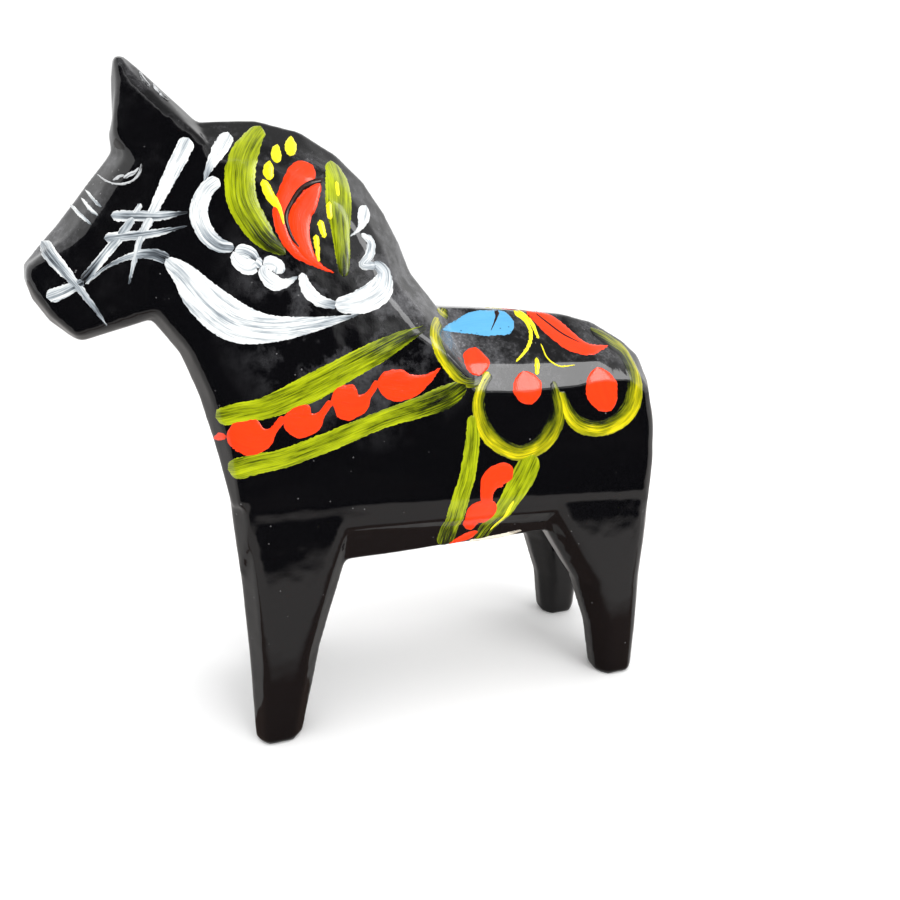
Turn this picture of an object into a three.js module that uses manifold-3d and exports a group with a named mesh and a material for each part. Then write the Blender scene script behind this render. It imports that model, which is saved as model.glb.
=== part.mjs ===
// A painted wooden dala horse, in millimetres. It looks along -Y, its left side is +X, +Z is up,
// and the origin is the middle of the footprint, on the surface the hooves stand on.
//
// The wood is carved the way these horses are: a sawn side outline gives each block, and long
// knife facets take its corners off. Every painted motif is a thin film of its own above the wood.

import * as THREE from "three";
import Module from "manifold-3d";
import { LoftGeometry } from "three/addons/geometries/LoftGeometry.js";
import { mergeVertices } from "three/addons/utils/BufferGeometryUtils.js";

const wasm = await Module();
wasm.setup();

// Driving dimensions.
const SIDE = 21.5;            // half the width across the flat flanks
const HOOF_OUT = 20;          // outer face of a hoof, from the middle plane
const HOOF_IN = 10.7;         // inner face of a hoof, from the middle plane
const BELLY = 37.3;           // underside of the trunk
const WELD = 1e-5;            // corners closer than this are one corner
const REACH = 200;            // longer than anything on the horse, for the cutting tools
const PAINT_GAP = 0.3;        // clearance between the wood and a painted film, and between films
const PAINT = 0.4;            // thickness of a painted film

// A facet turns in two steps, from the outline in to the flat side. Each step has its share of
// the facet's width and fall, and its share of any skin added sideways and towards the outline.
const FACET_STEPS = [
  { width: 0, fall: 1, sideward: 0.4, edgeward: 1 },
  { width: 0.64, fall: 0.15, sideward: 0.9, edgeward: 0.6 },
  { width: 1, fall: 0, sideward: 1, edgeward: 0.4 },
];
const MIDDLE_LAP = 1;         // how far each half reaches past the middle plane
const CHAMFER_SPREAD = 0.6;   // how much a leg's chamfer widens for each millimetre of skin

// One corner of a side outline. before and after are the widths of the facets that meet there,
// and fall is how much narrower the block is at the outline than across its flat side.
const corner = (y, z, before, after, fall) => ({ y, z, before, after, fall });
const even = (y, z, width, fall) => corner(y, z, width, width, fall);

const TRUNK = [
  corner(-30.2, BELLY, 4, 14.2, 4),
  corner(60, BELLY, 8.4, 5, 6),
  even(60.9, 52, 5, 5.5),
  even(60.6, 61, 5, 6),
  even(59, 69.1, 5, 6.5),
  even(56.8, 74.8, 7, 7.5),
  even(53.5, 78, 9, 8.5),
  even(47.6, 82, 12, 11),
  even(40.5, 84, 14, 12),
  even(27, 85.4, 15.5, 12.5),
  corner(12.8, 86.4, 15.5, 0, 12.5),
  even(9, 66, 0, 0),
  corner(-30.9, 60, 0, 4, 4),
  even(-30.4, 51, 4, 4),
];

// The crest of the neck is one sweep from the withers to the poll.
const CREST = new THREE.CubicBezierCurve(
  new THREE.Vector2(7.4, 93.4),
  new THREE.Vector2(4.2, 104.5),
  new THREE.Vector2(-4.5, 124.5),
  new THREE.Vector2(-29, 120),
);
const CREST_FACETS = 7;

const NECK = [
  corner(-30.2, 52, 4, 0, 4),
  even(16, 66, 0, 0),
  corner(15.5, 82.5, 0, 8, 11),
  even(12.7, 86.4, 8, 11),
  ...CREST.getPoints(CREST_FACETS).map((p) => even(p.x, p.y, 8, 11)),
  corner(-36, 116, 8, 0, 11),
  even(-38, 100, 0, 0),
  corner(-40.6, 86.2, 0, 3.5, 6),
  even(-36.4, 80, 3.5, 6),
  even(-33.9, 72.3, 3.8, 5.5),
  even(-32.2, 64.5, 4, 4.5),
];

const HEAD = [
  corner(-40.6, 86.2, 2, 0, 4),
  even(-33, 92, 0, 0),
  corner(-27, 112, 0, 0, 0),
  corner(-29.4, 119.9, 0, 3.8, 12),
  even(-37.4, 127.6, 3, 10),
  even(-40.2, 130, 1, 7),
  even(-41.9, 129.8, 1, 7),
  even(-42.8, 126, 2.2, 8),
  even(-43.2, 119.6, 1, 6),
  even(-44.2, 117, 2, 7),
  even(-44.3, 114.8, 5.2, 10),
  even(-54, 103.8, 6, 11),
  even(-60.8, 96.2, 2.2, 9),
  even(-61, 93.7, 2, 8),
  even(-60.2, 90.2, 2.6, 8),
  even(-57.8, 86.3, 2.6, 8),
  even(-54.4, 83.5, 2, 7),
  even(-52.6, 82.8, 1.6, 5),
];

// Flat planes that narrow the neck and the head: half-width = at + alongY * y + alongZ * z.
const FLANK = { at: SIDE, alongY: 0, alongZ: 0 };
const NECK_SIDE = throughPoints([SIDE, -31.9, 62], [SIDE, 13, 86.4], [9, -41, 129]);
const HEAD_SIDE = throughPoints(
  [halfWidth(NECK_SIDE, -40.6, 86), -40.6, 86],
  [halfWidth(NECK_SIDE, -35, 119), -35, 119],
  [9.8, -60, 92],
);

// Level cuts through a left leg: its front, its back, its inner and outer face, and its corners.
const level = (z, front, back, inner, outer, chamfer) => ({ z, front, back, inner, outer, chamfer });
const FRONT_LEG = [
  level(0, -30.2, -21.6, HOOF_IN + 0.3, HOOF_OUT - 0.4, 2.6),
  level(1.2, -30.7, -21.2, HOOF_IN, HOOF_OUT, 2.8),
  level(19, -30.3, -16.3, 8, 20.6, 4.2),
  level(34, -30.2, -11, 4.6, 21, 4.6),
  level(50, -30.5, -5, 2.4, SIDE - 0.3, 4.4),
  level(66, -30.3, -2, 2, SIDE - 0.6, 4.4),
];
const REAR_LEG = [
  level(0, 47.8, 56.6, HOOF_IN + 0.3, HOOF_OUT - 0.4, 2.6),
  level(1.2, 47.3, 57.1, HOOF_IN, HOOF_OUT, 2.8),
  level(12, 46, 58.2, 9.2, 20.4, 3.8),
  level(24, 42.4, 58.9, 7.2, 20.8, 4.8),
  level(36, 35.8, 60.1, 4.4, 21.1, 5.2),
  level(50, 28.2, 60.9, 2.4, SIDE - 0.3, 5.4),
  level(64, 24, 59.8, 2, SIDE - 0.6, 5.4),
];

const EARS = { gapTop: 3.1, gapBottom: 119.2, gapHigh: 133, front: -60, back: -20 };

// A plain paper label under the belly.
const LABEL = { front: 14, back: 27, half: 6.5, thickness: 0.3 };

// Paints.
const BLACK = { color: 0x0a0a0c, roughness: 0.12 };
const GREEN = { color: 0xa3b314, roughness: 0.35 };
const YELLOW = { color: 0xf2e61e, roughness: 0.35 };
const RED = { color: 0xf5430f, roughness: 0.35 };
const BLUE = { color: 0x4fa3dd, roughness: 0.35 };
const WHITE = { color: 0xeef0ee, roughness: 0.4 };
const PAPER = { color: 0xe8ddc4, roughness: 0.85 };

// The motifs of one side, in the order they are painted. Each stroke is a list of [y, z, width]
// points that the brush passes through.
const FINEST_TIP = 0.6;
const MOTIFS = [
  {
    name: "breast_band_upper", paint: GREEN,
    strokes: [[[-30.6, 69, 3.6], [-22.5, 70.4, 3.8], [-14.5, 73.5, 4.8], [-6, 77.4, 4], [6, 83, 1]]],
  },
  {
    name: "breast_band_lower", paint: GREEN,
    strokes: [[[-30.6, 59.4, 4.2], [-22, 60.6, 4], [-12, 63.3, 4], [-2, 66.3, 4], [8, 69.4, 4], [15, 72.2, 2]]],
  },
  {
    name: "breast_beads", paint: RED,
    strokes: [
      [[-28.6, 66, 4], [-26, 65.5, 6.2], [-22.9, 66, 1.8], [-19.6, 68, 4]],
      [[-19.6, 68, 3.4], [-16.8, 67.6, 6], [-13.6, 68, 1.6], [-11.4, 70, 3.6]],
      [[-11.4, 70, 3.4], [-8.7, 70.6, 6.2], [-5.3, 71.3, 1.8], [-2.6, 73.1, 3]],
      [[-2.6, 73.1, 2.6], [0.6, 73.2, 5.2], [4.8, 73.1, 3], [9.6, 75.4, 0.6]],
    ],
  },
  {
    name: "girth_band_front", paint: GREEN,
    strokes: [[[15.6, 66, 2.4], [14.6, 57, 2.8], [12.2, 47.5, 3.2], [9.8, 39, 3.2]]],
  },
  {
    name: "girth_band_rear", paint: GREEN,
    strokes: [[[30.2, 57, 5], [25.4, 48, 3.8], [20.6, 40, 2.6]]],
  },
  {
    name: "girth_beads", paint: RED,
    strokes: [
      [[24.8, 53.6, 2], [22, 53.8, 3.8], [19, 51.8, 3.4], [19.2, 49, 1.6], [18.4, 47.4, 3]],
      [[18.4, 47.4, 3], [17.9, 44.9, 5.2], [18, 42, 1.4], [16, 40.2, 2.4], [13.4, 39.2, 1.2]],
    ],
  },
  {
    name: "saddle_loop_front", paint: YELLOW,
    strokes: [[[10.6, 83.6, 1.8], [8.8, 80, 1.8], [10.3, 75.6, 1.6], [13.8, 72.4, 1.6], [18.6, 72.4, 1.6]]],
  },
  {
    name: "saddle_loop_rear", paint: YELLOW,
    strokes: [
      [[35.4, 68.6, 2], [37, 63.6, 2.4], [41.8, 60.5, 2.6], [47.6, 61, 2.6], [52.4, 64.8, 2.6]],
      [[52.4, 64.8, 2.6], [53.8, 69, 2.5], [53, 74.4, 2.4], [50.4, 78.2, 1.8], [48.6, 79.6, 1.2]],
    ],
  },
  {
    name: "saddle_loop_middle", paint: YELLOW,
    strokes: [
      [[19.7, 73.4, 2], [16.9, 69, 2.5], [17.4, 63, 2.6], [20.7, 58.6, 2.6], [25, 56.4, 2.6]],
      [[25, 56.4, 2.6], [31.4, 57.8, 2.8], [35.3, 62.4, 2.7], [34.3, 69.4, 2.4], [32.6, 73.2, 1.6]],
    ],
  },
  {
    name: "saddle_leaf_blue", paint: BLUE,
    strokes: [[[12.6, 82.2, 0.6], [16.4, 82.6, 2.6], [21, 82.6, 4.4], [26, 82.4, 4.6], [29.2, 82.4, 2.6]]],
  },
  {
    name: "saddle_leaf_red", paint: RED,
    strokes: [[[33.4, 83.6, 1], [36.6, 82.4, 3], [39.6, 80.6, 4.2], [43, 78.8, 3], [47.4, 77.4, 0.6]]],
  },
  { name: "saddle_dot_front", paint: RED, strokes: [[[17, 78.4, 2], [17.6, 76.6, 5], [18, 74.8, 3]]] },
  { name: "saddle_dot_middle", paint: RED, strokes: [[[26.6, 73.2, 3], [28, 70.5, 6], [29, 67.6, 2.6]]] },
  { name: "saddle_dot_rear", paint: RED, strokes: [[[42.8, 73.6, 3], [44.2, 69.4, 6.2], [46.6, 65.6, 3]]] },
  {
    name: "mane_leaf_front", paint: GREEN,
    strokes: [[[-19.4, 117.6, 3.6], [-22.2, 112.4, 4.6], [-23, 107, 5], [-21.4, 102, 5], [-15.8, 97, 1]]],
  },
  {
    name: "mane_leaf_rear", paint: GREEN,
    strokes: [[[-6, 112.4, 2], [-5.2, 107, 3], [-5.6, 101, 3], [-6.8, 94, 1]]],
  },
  {
    name: "mane_petal", paint: RED,
    strokes: [[[-12.4, 113, 3.4], [-12.4, 109.4, 5.8], [-14.2, 104.6, 5.4], [-14.4, 100, 4], [-9.2, 94.2, 0.6]]],
  },
  {
    name: "mane_scroll", paint: WHITE,
    strokes: [
      [[-27, 108.8, 2.4], [-30, 106.4, 3.1], [-30.8, 103, 3.1], [-29.4, 99.8, 2.8], [-24.6, 97, 2.2]],
      [[-25.4, 97.4, 2.4], [-23.6, 95.4, 3.4], [-20.8, 94.2, 1.8], [-19.4, 93.4, 3.2], [-15.4, 92.2, 1.2]],
      [[-16.4, 92.4, 1.2], [-13.8, 91.6, 2], [-12, 89.4, 3.2], [-8, 87.8, 2.8], [-3.4, 88.4, 3.6]],
      [[-4.4, 88.2, 3.2], [-0.4, 90, 3.4], [0.2, 94, 1.6], [-2.4, 97, 1.6], [-1.6, 99.4, 1.2]],
    ],
  },
  { name: "mane_comma_front", paint: WHITE, strokes: [[[-24.4, 116.6, 2.8], [-26.8, 113.4, 2], [-28.8, 110.8, 1]]] },
  { name: "mane_comma_rear", paint: WHITE, strokes: [[[-1.4, 105.2, 1.6], [-1.8, 102.8, 2.4], [-4.2, 100.4, 0.8]]] },
  {
    name: "neck_leaf", paint: WHITE,
    strokes: [[[-38, 96.8, 1.4], [-32.4, 92, 6], [-27.6, 87.8, 7], [-21.8, 85, 5.6], [-4.9, 86, 0.6]]],
  },
  {
    name: "bridle", paint: WHITE,
    strokes: [
      [[-30.8, 115.4, 2], [-34.1, 110, 2.2], [-37.4, 104.2, 1.7], [-41.6, 97.3, 1], [-43, 92.4, 0.6]],
      [[-39.6, 105.2, 1], [-42.5, 102, 1.5], [-46.2, 98, 1.5], [-51.6, 92.6, 1.5]],
      [[-44.6, 103.6, 1.6], [-38.3, 103.7, 1.6], [-32.4, 104.1, 0.6]],
      [[-46, 100, 1.6], [-38.6, 100.5, 1.6], [-32.8, 101.6, 0.6]],
      [[-57, 99.6, 2], [-53.5, 95.2, 1.8], [-50.3, 90.2, 1.2], [-47.6, 86.4, 0.6]],
      [[-56.6, 90.4, 2.4], [-54, 91.5, 2], [-50.6, 92.6, 1.4]],
    ],
  },
];

// half-width = at + alongY * y + alongZ * z through three points given as [x, y, z].
function throughPoints(a, b, c) {
  const plane = new THREE.Plane().setFromCoplanarPoints(...[a, b, c].map((p) => new THREE.Vector3(...p)));
  const { normal, constant } = plane;
  return { at: -constant / normal.x, alongY: -normal.y / normal.x, alongZ: -normal.z / normal.x };
}

function halfWidth(plane, y, z) {
  return plane.at + plane.alongY * y + plane.alongZ * z;
}

// How far the inner corner of the facets lies from an outline corner, in the side plane.
function inward(outline, i) {
  const here = outline[i];
  const last = outline[(i + outline.length - 1) % outline.length];
  const next = outline[(i + 1) % outline.length];
  const arriving = new THREE.Vector2(here.y - last.y, here.z - last.z).normalize();
  const leaving = new THREE.Vector2(next.y - here.y, next.z - here.z).normalize();
  const turn = arriving.cross(leaving);
  if (Math.abs(turn) < 0.08) {
    return new THREE.Vector2(-leaving.y, leaving.x).multiplyScalar((here.before + here.after) / 2);
  }
  return new THREE.Vector2(
    (here.before * leaving.x - here.after * arriving.x) / turn,
    (here.before * leaving.y - here.after * arriving.y) / turn,
  );
}

// The left half of a block with the given side outline, faceted out to a flat flank on the given
// plane, with every face moved outwards by skin. It starts just past the middle plane.
function halfBlock(outline, side, skin) {
  const shifts = outline.map((_, i) => inward(outline, i));
  const units = outline.map((_, i) => inward(outline.map((c) => ({ ...c, before: 1, after: 1 })), i));
  const ring = (step) => outline.map((here, i) => {
    const y = here.y + shifts[i].x * step.width;
    const z = here.z + shifts[i].y * step.width;
    const x = (SIDE - here.fall * step.fall) * halfWidth(side, y, z) / SIDE;
    const out = skin * step.edgeward;
    return new THREE.Vector3(x + skin * step.sideward, y - units[i].x * out, z - units[i].y * out);
  });
  const facets = FACET_STEPS.map(ring);
  const middle = facets[0].map(({ y, z }) => new THREE.Vector3(-MIDDLE_LAP, y, z));
  return solid(new LoftGeometry([middle, ...facets], { capStart: true, capEnd: true }));
}

// A left leg: a post through its level cuts, whose corners turn in the same steps as the facets.
function leg(levels, skin) {
  const sections = levels.map((cut) => {
    const c = cut.chamfer + skin * CHAMFER_SPREAD;
    const front = cut.front - skin;
    const back = cut.back + skin;
    const inner = cut.inner - skin;
    const outer = cut.outer + skin;
    const quarters = [[outer, -1, front, 1], [outer, -1, back, -1], [inner, 1, back, -1], [inner, 1, front, 1]];
    const points = quarters.flatMap(([x, towardX, y, towardY], i) => {
      const turn = FACET_STEPS.map((step) => [x + towardX * c * step.fall, y + towardY * c * step.width]);
      return i % 2 ? turn.reverse() : turn;
    });
    return points.map(([x, y]) => new THREE.Vector3(x, y, cut.z));
  });
  return solid(new LoftGeometry(sections, { capStart: true, capEnd: true }));
}

// A slot of the given (x, z) outline that runs the whole length of the horse.
function slot(points, from, to) {
  const shape = new THREE.Shape(points.map(([x, z]) => new THREE.Vector2(x, z)));
  const geometry = new THREE.ExtrudeGeometry(shape, { depth: to - from, bevelEnabled: false });
  geometry.rotateX(Math.PI / 2);
  geometry.translate(0, to, 0);
  return solid(geometry);
}

// Everything further out on the left than skin from a side plane.
function beyond(plane, skin) {
  const outward = new THREE.Vector3(1, -plane.alongY, -plane.alongZ);
  const at = plane.at + skin * outward.length();
  const geometry = new THREE.BoxGeometry(REACH, REACH * 2, REACH * 2);
  geometry.translate(REACH / 2, 0, 0);
  const turn = new THREE.Quaternion().setFromUnitVectors(new THREE.Vector3(1, 0, 0), outward.normalize());
  geometry.applyQuaternion(turn);
  geometry.translate(at, 0, 0);
  return solid(geometry);
}

// The whole carving, with every face moved outwards by skin.
function carving(skin) {
  let half = halfBlock(TRUNK, FLANK, skin);
  half = half.add(halfBlock(NECK, NECK_SIDE, skin));
  half = half.add(halfBlock(HEAD, HEAD_SIDE, skin));
  half = half.add(leg(FRONT_LEG, skin));
  half = half.add(leg(REAR_LEG, skin));
  for (const plane of [FLANK, NECK_SIDE, HEAD_SIDE]) {
    half = half.subtract(beyond(plane, skin));
  }
  const { gapTop, gapBottom, gapHigh } = EARS;
  const earGap = slot([[0, gapBottom], [gapTop, gapHigh], [-gapTop, gapHigh]], EARS.front, EARS.back);
  return half.add(mirrored(half)).subtract(earGap);
}

// A brush stroke seen from the side, as an outline through its [y, z, width] points.
function strokeOutline(path, spare) {
  const line = new THREE.CatmullRomCurve3(path.map(([y, z, width]) => new THREE.Vector3(y, z, width)));
  const steps = Math.max(6, 2 * (path.length - 1));
  const points = line.getPoints(steps);
  const edge = (sign) => points.map((here, i) => {
    const last = points[Math.max(i - 1, 0)];
    const next = points[Math.min(i + 1, steps)];
    const along = new THREE.Vector2(next.x - last.x, next.y - last.y).normalize();
    const reach = sign * (Math.max(here.z, FINEST_TIP) / 2 + spare);
    const slide = i === 0 ? -spare : i === steps ? spare : 0;
    return new THREE.Vector2(
      here.x - along.y * reach + along.x * slide,
      here.y + along.x * reach + along.y * slide,
    );
  });
  return [...edge(-1), ...edge(1).reverse()];
}

// A stroke as a prism that passes through the left side of the horse.
function strokePrism(path, spare) {
  const shape = new THREE.Shape(strokeOutline(path, spare));
  const geometry = new THREE.ExtrudeGeometry(shape, { depth: SIDE * 2, bevelEnabled: false });
  // The drawing's x, y and depth become the horse's y, z and x.
  geometry.applyMatrix4(new THREE.Matrix4().makeBasis(
    new THREE.Vector3(0, 1, 0), new THREE.Vector3(0, 0, 1), new THREE.Vector3(1, 0, 0),
  ));
  geometry.translate(MIDDLE_LAP, 0, 0);
  return solid(geometry);
}

function motifPrism(motif, spare) {
  const prisms = motif.strokes.map((path) => strokePrism(path, spare));
  return prisms.reduce((whole, prism) => whole.add(prism));
}

// The film of one motif: its strokes where they cross the paint layer, less what is painted later.
function film(index, layer) {
  const strokes = motifPrism(MOTIFS[index], 0).intersect(layer);
  const later = MOTIFS.slice(index + 1).map((motif) => motifPrism(motif, PAINT_GAP));
  return later.reduce((body, over) => body.subtract(over), strokes);
}

// three.js geometry to a solid, and back.
function solid(geometry) {
  const bare = new THREE.BufferGeometry().copy(geometry);
  bare.deleteAttribute("normal");
  bare.deleteAttribute("uv");
  const merged = mergeVertices(bare, WELD);
  return new wasm.Manifold(new wasm.Mesh({
    numProp: 3,
    vertProperties: merged.attributes.position.array,
    triVerts: Uint32Array.from(merged.index.array),
  }));
}

function geometryOf(body) {
  const { vertProperties, triVerts } = body.getMesh();
  const geometry = new THREE.BufferGeometry();
  geometry.setAttribute("position", new THREE.BufferAttribute(vertProperties, 3));
  geometry.setIndex(new THREE.BufferAttribute(triVerts, 1));
  geometry.computeVertexNormals();
  return geometry;
}

// The same solid on the other side of the horse.
function mirrored(body) {
  const geometry = geometryOf(body);
  geometry.scale(-1, 1, 1);
  geometry.index.array.reverse();
  return solid(geometry);
}

function named(name, body, { color, roughness }) {
  const material = new THREE.MeshStandardMaterial({ color, roughness, metalness: 0 });
  const mesh = new THREE.Mesh(geometryOf(body), material);
  mesh.name = name;
  return mesh;
}

function bellyLabel() {
  const { front, back, half, thickness } = LABEL;
  const geometry = new THREE.BoxGeometry(2 * half, back - front, thickness);
  geometry.translate(0, (front + back) / 2, BELLY - PAINT_GAP - thickness / 2);
  return solid(geometry);
}

const horse = new THREE.Group();
horse.name = "dala_horse";
horse.add(named("carved_body", carving(0), BLACK));
horse.add(named("belly_label", bellyLabel(), PAPER));

const layer = carving(PAINT_GAP + PAINT).subtract(carving(PAINT_GAP));
MOTIFS.forEach(({ name, paint }, index) => {
  const left = film(index, layer);
  horse.add(named(`${name}_left`, left, paint));
  horse.add(named(`${name}_right`, mirrored(left), paint));
});

export default horse;
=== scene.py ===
"""A painted wooden dala horse, lacquered black and brush-painted with a harness and flowers.

The horse looks along -Y, its left side is +X and +Z is up. Lengths below are in millimetres until
they reach Blender, which takes metres. The carved wood is one closed skin made from the CAD body.
Each brush stroke is a thin ridge of paint laid on that skin, from its [y, z, width] points.
"""

import math

import bpy
import numpy as np
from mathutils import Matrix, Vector, noise
from mathutils.bvhtree import BVHTree


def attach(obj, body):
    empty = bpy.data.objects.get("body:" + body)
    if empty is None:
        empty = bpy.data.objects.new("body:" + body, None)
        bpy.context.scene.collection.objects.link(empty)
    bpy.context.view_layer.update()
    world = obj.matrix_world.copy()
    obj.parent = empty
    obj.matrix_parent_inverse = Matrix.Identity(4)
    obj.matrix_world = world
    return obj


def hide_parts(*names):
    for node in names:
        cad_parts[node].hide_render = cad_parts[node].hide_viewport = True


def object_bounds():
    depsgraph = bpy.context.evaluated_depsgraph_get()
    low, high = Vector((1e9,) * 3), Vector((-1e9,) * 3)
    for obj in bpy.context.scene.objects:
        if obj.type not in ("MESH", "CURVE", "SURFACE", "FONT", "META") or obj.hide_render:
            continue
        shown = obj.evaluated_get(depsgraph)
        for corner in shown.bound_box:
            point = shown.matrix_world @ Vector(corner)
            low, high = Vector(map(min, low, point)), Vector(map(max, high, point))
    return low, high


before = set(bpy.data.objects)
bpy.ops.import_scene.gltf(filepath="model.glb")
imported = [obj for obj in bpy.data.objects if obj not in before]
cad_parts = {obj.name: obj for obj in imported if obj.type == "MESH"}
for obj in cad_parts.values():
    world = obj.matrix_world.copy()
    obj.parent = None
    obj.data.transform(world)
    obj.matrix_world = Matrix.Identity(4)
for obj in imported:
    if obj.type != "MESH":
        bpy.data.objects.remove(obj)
cad_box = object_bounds()

MM = 0.001

# The lacquered skin.
VOXEL = 0.6            # size of the skin's mesh cells
SOFTEN = 3             # smoothing steps that round the knife edges
KNIFE_WAVE = 0.10      # height of the slow waves that the knife leaves
KNIFE_WAVE_SIZE = 9.0
LUMP = 0.035           # height of the small lumps in the lacquer
LUMP_SIZE = 2.2

# The brush.
PAINT = 0.10           # thickness of a stroke above the skin
EDGE_SINK = 0.05       # how far a stroke's edge dips under the skin
LAYER = 0.006          # what each later stroke adds
STEP = 0.32            # spacing of a stroke's mesh points
FRAY = 0.22            # how far each edge of it strays
WOBBLE = 0.05          # unevenness of a stroke's width, as a share
SPREAD = 1.1           # a stroke's width over its visible width, as its edges dip under the skin
LOOP_FADE = 1.4        # how far a saddle loop's paint thins out inside it
LOOP_THINNING = 0.8    # how much of its thickness is gone at its inner edge
HAIRLINE = 0.12        # the thinnest stroke
NEXT_STROKE = 13.7     # shifts the bristles, so that no two strokes have the same ones
RAY_FROM = 40          # how far out the strokes are projected onto the skin from
RAY_MISSED = 12        # and where the nearest skin is looked for if that misses it


def srgb(code):
    """A hex colour as linear RGBA."""
    parts = [int(code[i:i + 2], 16) / 255 for i in (0, 2, 4)]
    return [p / 12.92 if p <= 0.04045 else ((p + 0.055) / 1.055) ** 2.4 for p in parts] + [1.0]


# ---------------------------------------------------------------- node helpers

class Nodes:
    """A small builder for one material's node tree."""

    def __init__(self, name):
        self.material = bpy.data.materials.new(name)
        self.material.use_nodes = True
        self.tree = self.material.node_tree
        self.shader = self.tree.nodes["Principled BSDF"]

    def add(self, kind, **settings):
        node = self.tree.nodes.new(kind)
        for key, value in settings.items():
            setattr(node, key, value)
        return node

    def link(self, source, target):
        self.tree.links.new(source, target)

    def put(self, target, value):
        if isinstance(value, bpy.types.NodeSocket):
            self.link(value, target)
        else:
            target.default_value = value

    def math(self, operation, a, b=0.0, clamp=False):
        node = self.add("ShaderNodeMath", operation=operation, use_clamp=clamp)
        self.put(node.inputs[0], a)
        self.put(node.inputs[1], b)
        return node.outputs[0]

    def ramp(self, value, stops):
        node = self.add("ShaderNodeValToRGB")
        elements = node.color_ramp.elements
        while len(elements) < len(stops):
            elements.new(0.5)
        for element, (place, colour) in zip(elements, stops):
            element.position = place
            element.color = colour
        self.put(node.inputs[0], value)
        return node.outputs[0]

    def curve(self, value, stops):
        """A ramp of grey levels, used as a function."""
        return self.ramp(value, [(place, [level] * 3 + [1]) for place, level in stops])

    def mix(self, share, a, b):
        node = self.add("ShaderNodeMix", data_type="RGBA")
        self.put(node.inputs[0], share)
        self.put(node.inputs[6], a)
        self.put(node.inputs[7], b)
        return node.outputs[2]

    def noise(self, vector, scale, detail=2.0, roughness=0.5):
        node = self.add("ShaderNodeTexNoise")
        self.link(vector, node.inputs["Vector"])
        node.inputs["Scale"].default_value = scale
        node.inputs["Detail"].default_value = detail
        node.inputs["Roughness"].default_value = roughness
        return node.outputs[0]

    def cells(self, vector, scale):
        """Distance to the nearest of a scatter of points."""
        node = self.add("ShaderNodeTexVoronoi")
        self.link(vector, node.inputs["Vector"])
        node.inputs["Scale"].default_value = scale
        return node.outputs["Distance"]

    def stretch(self, vector, scale):
        node = self.add("ShaderNodeMapping")
        self.link(vector, node.inputs[0])
        node.inputs["Scale"].default_value = scale
        return node.outputs[0]

    def bump(self, height, distance, normal=None):
        node = self.add("ShaderNodeBump")
        self.put(node.inputs["Height"], height)
        node.inputs["Distance"].default_value = distance
        if normal is not None:
            self.link(normal, node.inputs["Normal"])
        return node.outputs[0]

    def place(self):
        """The point on the object, in metres."""
        return self.add("ShaderNodeTexCoord").outputs["Object"]

    def uv(self, layer):
        return self.add("ShaderNodeUVMap", uv_map=layer).outputs[0]

    def split(self, vector):
        node = self.add("ShaderNodeSeparateXYZ")
        self.link(vector, node.inputs[0])
        return node.outputs


# ---------------------------------------------------------------- materials

LACQUER = srgb("08080a")
DUST = srgb("8a8a8e")
SPECK = srgb("a0a0a0")
HAZE_PLACE = (0.014, -0.004, 0.086)    # a milky patch on the left side, at the foot of the mane
HAZE_SIZE = 0.026


def lacquer():
    """Black lacquer: high gloss, slow waves, orange peel, dust on what faces up, specks, a haze."""
    n = Nodes("black_lacquer")
    at = n.place()
    upward = n.split(n.add("ShaderNodeNewGeometry").outputs["Normal"])[2]
    facing_up = n.curve(upward, [(0.18, 0), (0.5, 1)])
    cloud = n.curve(n.noise(at, 90, 6, 0.7), [(0.46, 0), (0.7, 1)])
    grain = n.curve(n.noise(at, 1500, 3, 0.7), [(0.45, 0.35), (0.65, 1)])
    dust = n.math("MULTIPLY", n.math("MULTIPLY", facing_up, cloud), grain)
    settled = n.math("ADD", n.noise(at, 230, 1), n.math("MULTIPLY", facing_up, 0.1))
    rare = n.curve(settled, [(0.56, 0), (0.64, 1)])
    speck = n.math("MULTIPLY", n.curve(n.cells(at, 560), [(0.0, 1), (0.06, 1), (0.1, 0)]), rare)
    apart = n.add("ShaderNodeVectorMath", operation="DISTANCE")
    n.link(at, apart.inputs[0])
    apart.inputs[1].default_value = HAZE_PLACE
    haze = n.math("MULTIPLY", n.curve(apart.outputs["Value"], [(0.0, 1), (HAZE_SIZE, 0)]), cloud)
    dull = n.math("ADD", n.math("MULTIPLY", dust, 0.6), n.math("MULTIPLY", haze, 0.75), clamp=True)
    dusted = n.mix(dull, LACQUER, DUST)
    n.link(n.mix(n.math("MULTIPLY", speck, 0.35), dusted, SPECK), n.shader.inputs["Base Color"])
    n.link(n.curve(dust, [(0.0, 0.07), (1.0, 0.34)]), n.shader.inputs["Roughness"])
    waves = n.bump(n.noise(at, 110, 2, 0.4), 0.00012)
    peel = n.bump(n.noise(at, 900, 2, 0.5), 0.000012, normal=waves)
    n.link(n.bump(speck, 0.00004, normal=peel), n.shader.inputs["Normal"])
    n.shader.inputs["IOR"].default_value = 1.52
    n.shader.inputs["Coat Weight"].default_value = 0.3
    n.shader.inputs["Coat Roughness"].default_value = 0.03
    return n.material


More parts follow.
